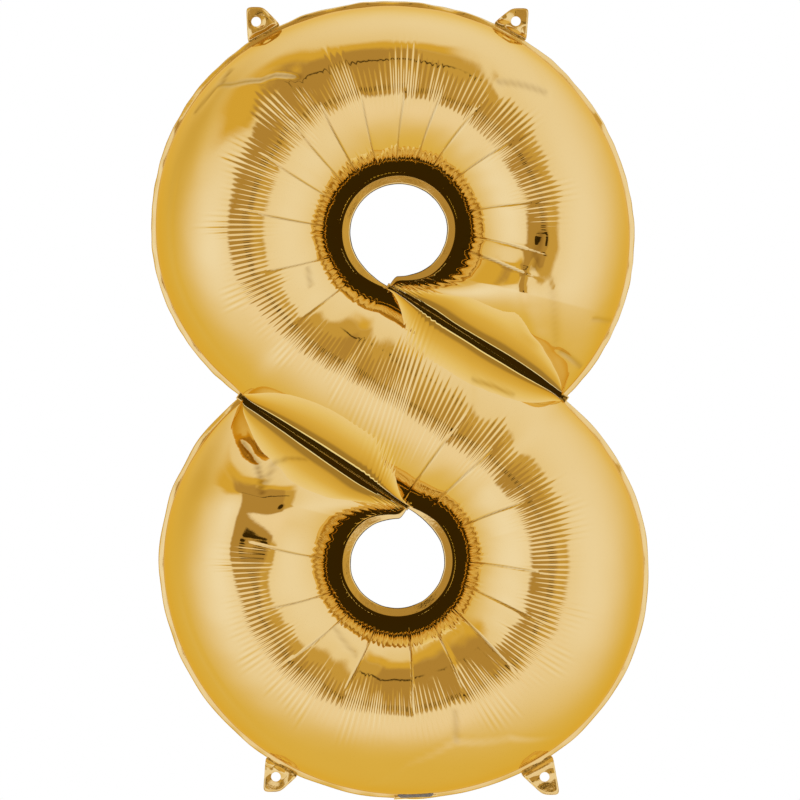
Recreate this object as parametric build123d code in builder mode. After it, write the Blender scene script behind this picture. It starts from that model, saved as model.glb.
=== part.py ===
from build123d import *
import os
from collections import namedtuple
from math import atan2, cos, degrees, dist, exp, radians, sin, sqrt

# A foil number balloon, the figure 8, 830 mm high when it is inflated.  X runs across the figure,
# Z up and Y through it; the front faces -Y.  The origin is at the bottom, in the middle.
# One S-shaped tube makes the figure.  It starts at the upper slit, runs round the upper ring, crosses
# the middle as a slanting band, runs round the lower ring and ends at the lower slit.  A front film and
# a rear film arch away from the seam plane Y = 0, and flat welds join them round every edge.

# Driving dimensions, in millimetres and degrees.
FILM = 0.8              # one film, drawn thick enough to be a solid
WELD = 0.8              # the two films fused together in a weld
ARCH = 0.98             # how far each film stands out from the seam plane, as a share of half its width
RIM_WELD = 5.0          # width of the weld round the outside
HOLE_WELD = 8.5         # width of the weld round each hole
SLIT_WELD = 8.0         # width of the weld along each slit
HOLE_RADIUS = 50.5      # open radius of each hole
FOOT = 1.2              # how far a weld reaches in under the edge of a film
RIGHT_NOTCH = (171.4, 416.0)
LEFT_NOTCH = (-166.2, 419.2)
SLIT_FROM_APEX = 0.2    # share of a slit, from its hole, that the upper or lower ring's half takes

SHOULDER = 12.0         # how far each ring bulges out of round over its shoulder
SHOULDER_ANGLE = 148.0
SHOULDER_SPREAD = 38.0
NEAR_PULL_ANGLE = 5.0   # from here the outline is drawn in to the notch beside the slit
FAR_PULL_ANGLE = 184.0  # and from here to the notch where the band leaves
PULL_POWER = 1.5
OUTLINE_STEPS = 36
TANGENT_STEP = 1.0      # angle either side of a point over which the outline's direction is taken

APEX_ANGLE = -92.0      # where a slit meets the weld round its hole
FIRST_ANGLE = -10.0     # from here to the far notch the tube's sections stand square to the ring
FAN_SHARES = [0.0, 0.03, 0.1, 0.22, 0.4, 0.68]
LOOP_SECTIONS = 23
BAND_SECTIONS = 7
TUCK_LENGTH = 90.0      # length over which a tube end rises from its slit
TUCK_EDGE = 3.0         # height of the tube end at the slit

TAB_ROOT = 40.0
TAB_CORNER = 6.5
TAB_HOLE_RADIUS = 5.0
TAB_HINGE_GAP = 0.5     # clearance between the rim weld and a tab's root

NECK_WIDTH = 45.0
NECK_LENGTH = 42.0
NECK_CORNER = 4.0
NECK_ANGLE = 93.6       # where the neck leaves the lower ring
NECK_LIFT = 12.0        # slope of the folded neck, up along the rear film
NECK_INSET = 1.8        # height of the neck's hinge above the edge of the rim
NECK_BEHIND = 1.2       # and its place behind the seam plane, clear of the rim weld
NECK_GAP = 0.5          # clearance between the hinge and the neck's films
VALVE_WIDTH = 38.0
VALVE_LENGTH = 120.0
VALVE_CORNER = 5.0
VALVE_INSET = 2.0       # from the edge of the rim to the valve's end
VALVE_CLEARANCE = 0.2

# Each ring is described in its own angles: anticlockwise from the side of its slit, so that 0 is
# right in the upper ring, and left in the lower ring, which is the upper one turned half round.
Ring = namedtuple("Ring", "centre hole radius turn near_notch far_notch")
UPPER = Ring((-4.2, 580.2), (-1.0, 589.0), 248.6, 0.0, RIGHT_NOTCH, LEFT_NOTCH)
LOWER = Ring((0.5, 253.3), (-3.0, 248.0), 252.0, 180.0, LEFT_NOTCH, RIGHT_NOTCH)

# name, ring, angle of the middle of the root, middle of the hole, X of the upright side, Z of the end,
# X where the end meets the sloping side
TABS = [
    ("hanging_tab_top_left", UPPER, 122.5, (-149.4, 808.1), -160.0, 823.5, -142.3),
    ("hanging_tab_top_right", UPPER, 61.4, (120.3, 808.6), 134.0, 822.3, 116.3),
    ("hanging_tab_bottom_left", LOWER, 60.6, (-128.9, 23.7), -142.3, 7.8, -124.7),
    ("hanging_tab_bottom_right", LOWER, 123.1, (150.3, 23.5), 166.2, 4.7, 148.5),
]


def polar(middle, radius, angle):
    """The point at a radius and an angle from a middle."""
    return (middle[0] + radius * cos(radians(angle)), middle[1] + radius * sin(radians(angle)))


def angle_about(ring, point):
    """A point's angle about a ring, in the ring's own angles, from -90 up to 270."""
    across = point[0] - ring.centre[0]
    up = point[1] - ring.centre[1]
    return (degrees(atan2(up, across)) - ring.turn + 90) % 360 - 90


def outline_radius(ring, angle):
    """Distance from a ring's centre to the outside edge of its weld."""
    near_angle = angle_about(ring, ring.near_notch)
    far_angle = angle_about(ring, ring.far_notch)
    near_pull = max(0, (NEAR_PULL_ANGLE - angle) / (NEAR_PULL_ANGLE - near_angle)) ** PULL_POWER
    far_pull = max(0, (angle - FAR_PULL_ANGLE) / (far_angle - FAR_PULL_ANGLE)) ** PULL_POWER
    bulge = SHOULDER * exp(-(((angle - SHOULDER_ANGLE) / SHOULDER_SPREAD) ** 2))
    round_radius = ring.radius + bulge
    near_drop = near_pull * (round_radius - dist(ring.centre, ring.near_notch))
    far_drop = far_pull * (round_radius - dist(ring.centre, ring.far_notch))
    return round_radius - near_drop - far_drop


def on_outline(ring, angle, inset=0.0):
    """A point on a ring's outside edge, or inset from it."""
    return polar(ring.centre, outline_radius(ring, angle) - inset, angle + ring.turn)


def on_hole(ring, angle, outset=0.0):
    """A point on the open edge of a ring's hole, or out from it."""
    return polar(ring.hole, HOLE_RADIUS + outset, angle + ring.turn)


def between(start, end, share):
    """The point a share of the way from start to end."""
    return (start[0] + (end[0] - start[0]) * share, start[1] + (end[1] - start[1]) * share)


def apex(ring):
    """Where a ring's slit meets the film edge round the ring's hole."""
    return on_hole(ring, APEX_ANGLE, HOLE_WELD)


def fan_section(ring, share):
    """A section of the tube's end, which turns from the slit (0) to square across the ring (1)."""
    weld = SLIT_WELD / 2
    inner_start = APEX_ANGLE + degrees(weld / (HOLE_RADIUS + HOLE_WELD))
    outer_start = angle_about(ring, ring.near_notch) + degrees(weld / ring.radius) * 1.5
    inner = on_hole(ring, inner_start + (FIRST_ANGLE - inner_start) * share, HOLE_WELD)
    outer = on_outline(ring, outer_start + (FIRST_ANGLE - outer_start) * share, RIM_WELD)
    return inner, outer


def loop_section(ring, angle):
    """A section square across the ring."""
    return on_hole(ring, angle, HOLE_WELD), on_outline(ring, angle, RIM_WELD)


def band_section(ring, share):
    """A section of the band, from the far notch (0) to the middle of the figure (1).  The inner end
    goes on round the hole and then down this ring's slit; the outer end goes down the other slit."""
    other = LOWER if ring is UPPER else UPPER
    far_angle = angle_about(ring, ring.far_notch)
    hole_run = radians(APEX_ANGLE + 360 - far_angle) * (HOLE_RADIUS + HOLE_WELD)
    slit_run = SLIT_FROM_APEX * dist(apex(ring), ring.near_notch)
    run = share * (hole_run + slit_run)
    if run < hole_run:
        inner = on_hole(ring, far_angle + degrees(run / (HOLE_RADIUS + HOLE_WELD)), HOLE_WELD)
    else:
        inner = between(apex(ring), ring.near_notch, (run - hole_run) / slit_run * SLIT_FROM_APEX)
        inner = between(inner, ring.far_notch, SLIT_WELD / 2 / dist(inner, ring.far_notch))
    outer = between(ring.far_notch, apex(other), share * (1 - SLIT_FROM_APEX))
    outer = between(outer, inner, (SLIT_WELD / 2 + RIM_WELD * (1 - share)) / dist(outer, inner))
    return inner, outer


def half_sections(ring):
    """Every section of one ring's half of the tube, as (inner point, outer point, share of full arch)."""
    slit_middle = between(*fan_section(ring, 0.0), 0.5)
    far_angle = angle_about(ring, ring.far_notch)
    sections = []
    for share in FAN_SHARES:
        inner, outer = fan_section(ring, share)
        climb = min(1.0, dist(slit_middle, between(inner, outer, 0.5)) / TUCK_LENGTH)
        sections.append((inner, outer, sqrt(1 - (1 - climb) ** 2)))
    for step in range(LOOP_SECTIONS):
        angle = FIRST_ANGLE + (far_angle - FIRST_ANGLE) * step / LOOP_SECTIONS
        sections.append((*loop_section(ring, angle), 1.0))
    for step in range(BAND_SECTIONS):
        sections.append((*band_section(ring, step / BAND_SECTIONS), 1.0))
    return sections


def tube_sections():
    """The tube's sections in order, from the upper slit to the lower slit."""
    upper = half_sections(UPPER)
    middle = band_section(UPPER, 1.0)
    lower = [(outer, inner, fullness) for inner, outer, fullness in reversed(half_sections(LOWER))]
    return upper + [(*middle, 1.0)] + lower


def foil_panel(side):
    """One arched film, the length of the tube: side is -1 for the front and 1 for the rear."""
    with BuildPart() as panel:
        for inner, outer, fullness in tube_sections():
            middle = between(inner, outer, 0.5)
            half_width = dist(inner, outer) / 2
            height = max(TUCK_EDGE, ARCH * half_width * fullness)
            across = Vector(outer[0] - inner[0], 0, outer[1] - inner[1]).normalized()
            origin = Vector(middle[0], side * WELD / 2, middle[1])
            with BuildSketch(Plane(origin, x_dir=across, z_dir=across.cross(Vector(0, side, 0)))):
                with BuildLine():
                    EllipticalCenterArc((0, 0), half_width, height, arc_size=180)
                    Line((-half_width, 0), (-half_width + FILM, 0))
                    EllipticalCenterArc((0, 0), half_width - FILM, height - FILM, arc_size=180)
                    Line((half_width - FILM, 0), (half_width, 0))
                make_face()
        loft(ruled=True)
    return panel.part


def outline_points(ring, inset):
    """Points along one ring's part of the outline, from its near notch round to its far notch."""
    near = angle_about(ring, ring.near_notch)
    far = angle_about(ring, ring.far_notch)
    return [on_outline(ring, near + (far - near) * i / OUTLINE_STEPS, inset) for i in range(OUTLINE_STEPS + 1)]


def outline_area(inset):
    """Everything inside the outline of the figure, or inside a line inset from it."""
    with BuildSketch(Plane.XZ) as area:
        with BuildLine():
            upper = Spline(*outline_points(UPPER, inset))
            lower = Spline(*outline_points(LOWER, inset))
            if inset:
                Line(upper @ 1, lower @ 0)
                Line(lower @ 1, upper @ 0)
        make_face()
    return area.sketch


def root_plane(ring, angle, gap):
    """A plane at the outside edge of a ring: x along the edge, y outwards, z towards the front."""
    middle = on_outline(ring, angle)
    before = on_outline(ring, angle - TANGENT_STEP)
    after = on_outline(ring, angle + TANGENT_STEP)
    along = Vector(before[0] - after[0], 0, before[1] - after[1]).normalized()
    outward = Vector(0, -1, 0).cross(along)
    return Plane(Vector(middle[0], 0, middle[1]) + outward * gap, x_dir=along, z_dir=(0, -1, 0))


def slit_weld(ring):
    """The flat weld along a slit, from the weld round the hole to the weld round the outside."""
    start = apex(ring)
    end = ring.near_notch
    slope = degrees(atan2(end[1] - start[1], end[0] - start[0]))
    with BuildPart() as weld:
        with BuildSketch(Plane.XZ):
            with Locations(Location((*between(start, end, 0.5), 0), slope)):
                Rectangle(dist(start, end) + 2 * HOLE_WELD, SLIT_WELD + 2 * FOOT)
            with Locations(ring.hole):
                Circle(HOLE_RADIUS + HOLE_WELD + FOOT, mode=Mode.SUBTRACT)
        extrude(amount=WELD / 2, both=True)
        extrude(outline_area(RIM_WELD + FOOT), amount=WELD, both=True, mode=Mode.INTERSECT)
    return weld.part


def hole_weld(ring):
    """The flat weld round a ring's hole."""
    with BuildPart() as weld:
        with BuildSketch(Plane.XZ):
            with Locations(ring.hole):
                Circle(HOLE_RADIUS + HOLE_WELD + FOOT)
                Circle(HOLE_RADIUS, mode=Mode.SUBTRACT)
        extrude(amount=WELD / 2, both=True)
    return weld.part


def rim_weld():
    """The weld round the outside of the figure, open where the valve passes through it."""
    with BuildPart() as weld:
        extrude(outline_area(0), amount=WELD / 2, both=True)
        extrude(outline_area(RIM_WELD + FOOT), amount=WELD, both=True, mode=Mode.SUBTRACT)
        with BuildSketch(root_plane(LOWER, NECK_ANGLE, 0)):
            Rectangle(VALVE_WIDTH + 2 * VALVE_CLEARANCE, 4 * RIM_WELD)
        extrude(amount=WELD, both=True, mode=Mode.SUBTRACT)
    return weld.part


def valve_film(side):
    """One of the valve's two flat films, from the rim up into the tube: side is 1 for the front."""
    with BuildPart() as film:
        with BuildSketch(root_plane(LOWER, NECK_ANGLE, 0)):
            with Locations((0, -VALVE_INSET - VALVE_LENGTH / 2)):
                RectangleRounded(VALVE_WIDTH, VALVE_LENGTH, VALVE_CORNER)
        extrude(amount=side * WELD / 2)
    return film.part


def neck_hinge():
    """The fold line of the inflation neck, as the plane it hangs in when it is let down."""
    edge = root_plane(LOWER, NECK_ANGLE, -NECK_INSET)
    return Plane(edge.origin + Vector(0, NECK_BEHIND, 0), x_dir=edge.x_dir, z_dir=edge.z_dir)


def neck_film(side):
    """One of the inflation neck's two films, folded back under the rear film: side is 1 for the
    film that hangs in front when the neck is let down."""
    hinge = neck_hinge()
    folded = Vector(0, cos(radians(NECK_LIFT)), sin(radians(NECK_LIFT)))
    with BuildPart() as film:
        with BuildSketch(Plane(hinge.origin, x_dir=hinge.x_dir, z_dir=hinge.x_dir.cross(folded))):
            with Locations((0, NECK_GAP + NECK_LENGTH / 2)):
                RectangleRounded(NECK_WIDTH, NECK_LENGTH, NECK_CORNER)
        extrude(amount=side * WELD / 2)
    return film.part


def hanging_tab(ring, angle, hole, side, end, shoulder):
    """A flap of fused film that stands out from the rim, with a punched hole.  One side is upright
    and the other slopes back to the rim."""
    root = root_plane(ring, angle, TAB_HINGE_GAP)
    root_ends = [root.origin - root.x_dir * TAB_ROOT / 2, root.origin + root.x_dir * TAB_ROOT / 2]
    root_ends.sort(key=lambda corner: abs(corner.X - side))
    corners = [(corner.X, corner.Z) for corner in root_ends]
    with BuildPart() as tab:
        with BuildSketch(Plane.XZ) as flap:
            with BuildLine():
                Polyline(*corners, (shoulder, end), (side, end), close=True)
            make_face()
            outer_corners = flap.vertices().sort_by_distance((side, end))[:2]
            fillet(outer_corners, TAB_CORNER)
            with Locations(hole):
                Circle(TAB_HOLE_RADIUS, mode=Mode.SUBTRACT)
        extrude(amount=WELD / 2, both=True)
    return tab.part


pieces = {
    "front_foil_panel": foil_panel(-1),
    "rear_foil_panel": foil_panel(1),
    "outer_weld_band": rim_weld(),
    "upper_hole_weld_band": hole_weld(UPPER),
    "lower_hole_weld_band": hole_weld(LOWER),
    "upper_slit_weld": slit_weld(UPPER),
    "lower_slit_weld": slit_weld(LOWER),
    "valve_front_film": valve_film(1),
    "valve_rear_film": valve_film(-1),
    "neck_front_film": neck_film(1),
    "neck_rear_film": neck_film(-1),
}
for tab_name, *tab_dimensions in TABS:
    pieces[tab_name] = hanging_tab(*tab_dimensions)

os.makedirs("parts", exist_ok=True)
for name, piece in pieces.items():
    piece.label = name
    export_step(piece, f"parts/{name}.step")
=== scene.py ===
from collections import namedtuple
from math import atan2, cos, degrees, pi, radians, sin

import bpy
import numpy as np
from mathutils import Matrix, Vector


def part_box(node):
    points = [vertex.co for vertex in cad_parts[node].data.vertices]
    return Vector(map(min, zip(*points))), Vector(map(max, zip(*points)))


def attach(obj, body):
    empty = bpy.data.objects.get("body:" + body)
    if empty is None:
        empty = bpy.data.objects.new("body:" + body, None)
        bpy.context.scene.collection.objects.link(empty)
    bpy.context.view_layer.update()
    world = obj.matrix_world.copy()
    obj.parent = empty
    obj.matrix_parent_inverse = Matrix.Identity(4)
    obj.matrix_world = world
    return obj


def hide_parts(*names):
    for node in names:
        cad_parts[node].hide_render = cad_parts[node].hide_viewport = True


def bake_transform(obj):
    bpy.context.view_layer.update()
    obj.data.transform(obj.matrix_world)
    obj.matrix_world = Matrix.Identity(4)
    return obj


# The looks of a gold foil number balloon, the figure 8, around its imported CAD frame.
# Shapes are worked out in millimetres in the frame's own axes (X across, Y away from the viewer, Z up)
# and turned into metres when a mesh is made.  Angles are in degrees.

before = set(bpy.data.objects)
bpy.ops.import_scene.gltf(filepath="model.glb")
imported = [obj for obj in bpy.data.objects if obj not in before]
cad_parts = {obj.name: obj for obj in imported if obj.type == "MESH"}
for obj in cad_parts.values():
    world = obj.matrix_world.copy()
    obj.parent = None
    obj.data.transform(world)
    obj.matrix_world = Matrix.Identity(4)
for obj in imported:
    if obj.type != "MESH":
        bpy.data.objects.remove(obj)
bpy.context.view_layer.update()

MM = 0.001
SEED = 8

# The figure's outline, the same as the CAD's.
RIGHT_NOTCH = np.array([171.4, 416.0])
LEFT_NOTCH = np.array([-166.2, 419.2])
SHOULDER = 12.0             # how far each ring bulges out of round over its shoulder
SHOULDER_ANGLE = 148.0
SHOULDER_SPREAD = 38.0
NEAR_PULL_ANGLE = 5.0       # from here the outline is drawn in to the notch beside the slit
FAR_PULL_ANGLE = 184.0      # and from here to the notch where the band leaves
PULL_POWER = 1.5
RIM_WELD = 5.0

# The weld round each hole is a lopsided ring: the end of the tube reaches into the hole beside the slit.
HOLE_WELD = 8.5
NUB_WELD = 4.0              # its width on the tube end's side of the slit
BAND_WELD = 3.0             # and on the band's side
NUB_NARROWS = (-55.0, 35.0)  # where it starts to narrow on each side, and over what turn
BAND_NARROWS = (225.0, 30.0)
LOBE_REACH = 5.4            # how far the tube's end reaches into the hole
LOBE_ANGLES = (15.0, -75.0)
NUB_ANGLE = -91.0           # where the reaching end turns back out to the slit
NUB_TURN = 10.0
NUB_RISE = 12.0
NUB_POWER = 2.2
BAND_ANGLE = 215.0          # where the hole widens towards the slit on the band's side
BAND_TURN = 44.0
BAND_RISE = 6.6
MOST_TURN = 1.2
SLIT_ANGLE = -101.0         # where each slit meets its hole
SLIT_RADIUS = 58.0
SLIT_WEB = 0.4              # width of the flat weld that shows between the film's edges in a slit

# The tube.
FIRST_ANGLE = -10.0         # from here to the far notch the sections stand square to the ring
FAN_TURN = 39.6             # the rate at which both ends of a section start to turn from the slit
SLIT_FROM_APEX = 0.2        # share of a slit, from its hole, that the ring's own half takes
SLIT_CLEAR = 2.0            # angle from the slit to the tube's first line
FAN_POINTS = 160
LOOP_POINTS = 600
BAND_POINTS = 240
POINTS_PER_MM = 2
ARCH = 0.98                 # how far each film stands out, as a share of half the width
MOST_HALF_WIDTH = 97.0
TUCK_LENGTH = 90.0
PLEAT_PITCH = 4.9
LINES_PER_PLEAT = 4
ROWS = 66
SMOOTHING = 7.0             # how far kinks in the edges are rounded along the tube

# Relief on the films: heights and depths in millimetres.
PLEATS_FROM = (0.0, -6.0)   # own angles at which the crest's pleats start, above and below
CREST = 0.515               # share of the width at which they lie
CREST_PLEAT = 0.52
CLUSTER_LENGTHS = (28, 75)
CREASE_CLUSTER = 9.0        # how far a crease gathers the pleats beside it
CALM_PLEAT = 0.5            # size of a pleat between clusters, against one in a cluster
HOLE_PLEAT = 0.4
GORE_BELLY = 0.55
CREASE_DEPTH = 1.1
CREASE_SPREAD = 0.85
CREASE_STEP = 0.4
# CREASE_SHADOW: how dark the painted shade in each crease's bottom is, from 0 to 1.
CREASE_SHADOW = 0.9
CREASE_FADE = 14.0
CREASE_SLANT = 30.0         # how far a crease leans back towards its slit, over the width of the tube
FILM_WAVES = [(0.5, (90, 220), 14), (0.05, (14, 40), 18)]   # height, lengths, number

Ring = namedtuple("Ring", "centre hole radius hole_radius turn near_notch far_notch")


def middle_of(node):
    """The middle of a CAD node's box, as (X, Z) in millimetres."""
    low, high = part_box(node)
    return np.array([(low.x + high.x) / 2, (low.z + high.z) / 2]) / MM


UPPER = Ring(np.array([-4.2, 580.2]), middle_of("upper_hole_weld_band"), 248.6, 50.5, 0.0,
             RIGHT_NOTCH, LEFT_NOTCH)
LOWER = Ring(np.array([0.5, 253.3]), middle_of("lower_hole_weld_band"), 252.0, 49.0, 180.0,
             LEFT_NOTCH, RIGHT_NOTCH)


# Gore creases, in each ring's own angles, from the hole out to the crest.
CREASES = [
    (UPPER, [-21, -5, 15, 42, 61, 75, 90, 107, 124, 137, 153, 174.5, 199, 224]),
    (LOWER, [-4, 23, 45, 70, 98, 119, 139, 159.5, 178.5, 208, 238, 265]),
]

# Folds along paths of (own angle, share of the width from the hole).  Each is a ridge (height above 0)
# or a groove, and may also be a step: the film stands higher by step on one side and lower on the other.
# Shadow is how dark the painted shade in the closed bottom of the fold is, from 0 to 1.
Fold = namedtuple("Fold", "ring height spread step shadow path")
FOLDS = [
    Fold(UPPER, 3.2, 8.0, 0.0, 0.0,
         [(-8, 0.44), (-22, 0.42), (-41, 0.45), (-65, 0.55), (-80, 0.66), (-88, 0.78)]),
    Fold(UPPER, -0.5, 2.4, -0.5, 0.1, [(-21, 0.56), (-42, 0.62), (-64, 0.705), (-81, 0.795), (-87, 0.82)]),
    Fold(UPPER, -0.8, 2.6, 0.0, 0.5, [(-26, 0.49), (-9, 0.46), (2, 0.485)]),
    Fold(UPPER, -0.8, 2.0, 0.5, 0.3, [(-84, 0.82), (-87, 0.98)]),
    Fold(UPPER, -0.8, 1.6, 0.3, 0.2, [(-56, 0.88), (-53, 0.99)]),
    Fold(UPPER, -0.7, 2.6, 1.0, 0.3, [(43, 0.85), (50, 0.78), (58, 0.69)]),
    Fold(UPPER, -0.3, 2.6, -2.4, 0.6,
         [(120, 0.66), (124, 0.72), (127, 0.765), (131, 0.79), (137, 0.88), (140, 0.95)]),
    Fold(UPPER, -1.0, 2.8, 0.0, 0.5, [(133, 0.955), (139, 0.93), (149, 0.945)]),
    Fold(UPPER, -0.9, 2.6, 0.0, 0.0, [(155, 0.915), (190, 0.905), (226, 0.915)]),
    Fold(UPPER, -1.0, 2.4, 0.0, 0.3, [(200, 0.22), (213, 0.27)]),
    Fold(LOWER, -3.0, 19.0, 0.0, 0.0,
         [(10, 0.47), (-20, 0.50), (-50, 0.54), (-72, 0.62), (-84, 0.72), (-94, 0.86)]),
    Fold(LOWER, -0.7, 2.6, 0.0, 0.55, [(-86, 0.86), (-84, 0.82), (-78, 0.71), (-67, 0.625), (-50, 0.55)]),
    Fold(LOWER, -0.6, 2.6, 0.0, 0.35, [(-58, 0.575), (-70, 0.605), (-83, 0.64), (-89, 0.61), (-94, 0.53)]),
    Fold(LOWER, -0.7, 2.6, 1.0, 0.3, [(266, 0.80), (254, 0.84), (242, 0.86)]),
    Fold(LOWER, -0.6, 2.6, 0.7, 0.0, [(78, 0.98), (92, 0.80), (107, 0.70), (122, 0.80), (134, 0.97)]),
    Fold(LOWER, -0.7, 2.2, 0.0, 0.2, [(107, 0.72), (111, 0.52)]),
    Fold(LOWER, -0.9, 2.6, 0.0, 0.0, [(4, 0.905), (35, 0.895), (66, 0.905)]),
    Fold(LOWER, -0.9, 2.4, 0.0, 0.25, [(44, 0.18), (68, 0.25)]),
]
# Painted shade in the folds' bottoms: how far it spreads from each fold's line, and how dark it is on the
# rear film against the front.
SHADOW_SPREAD = 2.8
REAR_DARKNESS = 0.2         # how dark the rear film's folds are, against the front's
STEP_EDGE = 2.0
STEP_FADE = 15.0

# The tabs and the neck, the same as the CAD's.
Tab = namedtuple("Tab", "name ring angle hole side end shoulder")
TABS = [
    Tab("hanging_tab_top_left", UPPER, 122.5, (-149.4, 808.1), -160.0, 823.5, -142.3),
    Tab("hanging_tab_top_right", UPPER, 61.4, (120.3, 808.6), 134.0, 822.3, 116.3),
    Tab("hanging_tab_bottom_left", LOWER, 60.6, (-128.9, 23.7), -142.3, 7.8, -124.7),
    Tab("hanging_tab_bottom_right", LOWER, 123.1, (150.3, 23.5), 166.2, 4.7, 148.5),
]
TAB_ROOT = 40.0
TAB_HOLE_RADIUS = 5.0
TAB_RUN_ON = 2.5            # how far a tab's film runs on into the rim's weld
TAB_EDGE_POINTS = 240
TAB_ROUNDING = 7.0          # how far a tab's corners are rounded, counted in edge points
TAB_ROWS = 30
TAB_FILM = 0.3
TAB_BEHIND = 0.8            # how far a tab's root lies behind the rim's film
TAB_BEAD = 0.5              # height of the raised edge
TAB_MOST_LIFT = 2.2

NECK_WIDTH = 45.0
NECK_LENGTH = 42.0
NECK_CORNER = 4.0
NECK_ANGLE = 93.6
NECK_LIFT = 12.0
NECK_INSET = 1.8
NECK_BEHIND = 1.2
NECK_ROOT = 3.0             # how far the neck's films start inside the fold
NECK_BEND = 1.4
NECK_FILM = 0.15
NECK_FILM_GAP = 0.5
NECK_PUFF = 0.9             # how far the two films part towards the mouth
NECK_CRUMPLE = 0.25


# ---------------------------------------------------------------- plane geometry

def polar(middle, radius, angle):
    """Points at a radius and an angle from a middle."""
    turned = np.radians(angle)
    return np.stack([middle[0] + radius * np.cos(turned), middle[1] + radius * np.sin(turned)], -1)


def off_plane(flat, depth):
    """Points (X, Z) of the seam plane moved off it: a depth below 0 is to the front."""
    return np.stack([flat[..., 0], depth + 0 * flat[..., 0], flat[..., 1]], -1)


def angle_about(ring, point):
    """A point's angle about a ring, in the ring's own angles, from -90 up to 270."""
    offset = point - ring.centre
    return (degrees(atan2(offset[1], offset[0])) - ring.turn + 90) % 360 - 90


def outline_radius(ring, angle):
    """Distance from a ring's centre to the outside edge of its weld."""
    near_angle = angle_about(ring, ring.near_notch)
    far_angle = angle_about(ring, ring.far_notch)
    near_pull = np.maximum(0, (NEAR_PULL_ANGLE - angle) / (NEAR_PULL_ANGLE - near_angle)) ** PULL_POWER
    far_pull = np.maximum(0, (angle - FAR_PULL_ANGLE) / (far_angle - FAR_PULL_ANGLE)) ** PULL_POWER
    bulge = SHOULDER * np.exp(-(((angle - SHOULDER_ANGLE) / SHOULDER_SPREAD) ** 2))
    round_radius = ring.radius + bulge
    near_drop = near_pull * (round_radius - np.linalg.norm(ring.near_notch - ring.centre))
    far_drop = far_pull * (round_radius - np.linalg.norm(ring.far_notch - ring.centre))
    return round_radius - near_drop - far_drop


def on_outline(ring, angle, inset=0.0):
    """Points on a ring's outside edge, or inset from it."""
    return polar(ring.centre, outline_radius(ring, angle) - inset, angle + ring.turn)


def hole_edge(ring, angle):
    """Radius of the open edge of a ring's hole."""
    lobe = np.clip((LOBE_ANGLES[0] - angle) / (LOBE_ANGLES[0] - LOBE_ANGLES[1]), 0, 1)
    nub = np.clip((NUB_ANGLE - angle) / NUB_TURN, 0, MOST_TURN)
    band = np.clip((angle - BAND_ANGLE) / BAND_TURN, 0, MOST_TURN)
    return ring.hole_radius - LOBE_REACH * lobe + NUB_RISE * nub ** NUB_POWER + BAND_RISE * band ** 2


def hole_weld_width(angle):
    """Width of the weld round a hole: it narrows on both sides of the slit."""
    nub = np.clip((NUB_NARROWS[0] - angle) / NUB_NARROWS[1], 0, 1)
    band = np.clip((angle - BAND_NARROWS[0]) / BAND_NARROWS[1], 0, 1)
    return HOLE_WELD - (HOLE_WELD - NUB_WELD) * nub - (HOLE_WELD - BAND_WELD) * band


def on_hole_seam(ring, angle):
    """Points where the film starts, round a ring's hole."""
    return polar(ring.hole, hole_edge(ring, angle) + hole_weld_width(angle), angle + ring.turn)


def apex(ring):
    """Where a ring's slit meets its hole."""
    return polar(ring.hole, SLIT_RADIUS, SLIT_ANGLE + ring.turn)


def slit_line(ring):
    """Where a ring's slit meets its hole, the way from there to its notch, and the direction square
    to it, towards the lobe."""
    start = apex(ring)
    along = ring.near_notch - start
    return start, along, np.array([-along[1], along[0]]) / np.linalg.norm(along)


def slit_point(ring, share, side):
    """A point a share of the way down a slit, on its lobe side (1) or its band side (-1)."""
    start, along, square = slit_line(ring)
    return start + along * np.asarray(share, float)[..., None] + square * side * SLIT_WEB / 2


# ---------------------------------------------------------------- the tube's two edges

def half_edges(ring, other):
    """The tube's inner and outer edges over one ring's half, from its slit to the middle of the figure."""
    share = np.linspace(0, 1, FAN_POINTS, endpoint=False)
    near_angle = angle_about(ring, ring.near_notch)
    far_angle = angle_about(ring, ring.far_notch)
    inner_angle, outer_angle = (start + FAN_TURN * share + (FIRST_ANGLE - start - FAN_TURN) * share ** 2
                                for start in (SLIT_ANGLE + SLIT_CLEAR, near_angle))
    fan_inner = on_hole_seam(ring, inner_angle)
    fan_outer = on_outline(ring, outer_angle, RIM_WELD)

    angle = np.linspace(FIRST_ANGLE, far_angle, LOOP_POINTS, endpoint=False)
    loop_inner = on_hole_seam(ring, angle)
    loop_outer = on_outline(ring, angle, RIM_WELD)

    share = np.linspace(0, 1, BAND_POINTS)
    last_angle = SLIT_ANGLE + 360
    hole_run = radians(last_angle - far_angle) * SLIT_RADIUS
    slit_run = SLIT_FROM_APEX * np.linalg.norm(ring.near_notch - apex(ring))
    run = share * (hole_run + slit_run)
    round_hole = on_hole_seam(ring, np.minimum(far_angle + np.degrees(run / SLIT_RADIUS), last_angle))
    down_slit = slit_point(ring, (run - hole_run) / slit_run * SLIT_FROM_APEX, -1)
    band_inner = np.where((run < hole_run)[:, None], round_hole, down_slit)
    band_outer = slit_point(other, 1 - share * (1 - SLIT_FROM_APEX), -1)
    return (np.concatenate([fan_inner, loop_inner, band_inner]),
            np.concatenate([fan_outer, loop_outer, band_outer]))


def run_along(points):
    """Distance along a line of points."""
    steps = np.linalg.norm(np.diff(points, axis=0), axis=1)
    return np.concatenate([[0], np.cumsum(steps)])


def resample(values, at, where):
    """Rows of values, known at increasing places, taken at other places."""
    return np.stack([np.interp(where, at, column) for column in values.T], -1)


def rounded(points, spread):
    """A line of evenly spaced points with its kinks rounded over a spread counted in points."""
    reach = int(4 * spread)
    weights = np.exp(-0.5 * (np.arange(-reach, reach + 1) / spread) ** 2)
    weights /= weights.sum()
    before = 2 * points[0] - points[reach:0:-1]
    after = 2 * points[-1] - points[-2:-reach - 2:-1]
    padded = np.concatenate([before, points, after])
    return np.stack([np.convolve(column, weights, "valid") for column in padded.T], -1)


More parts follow.
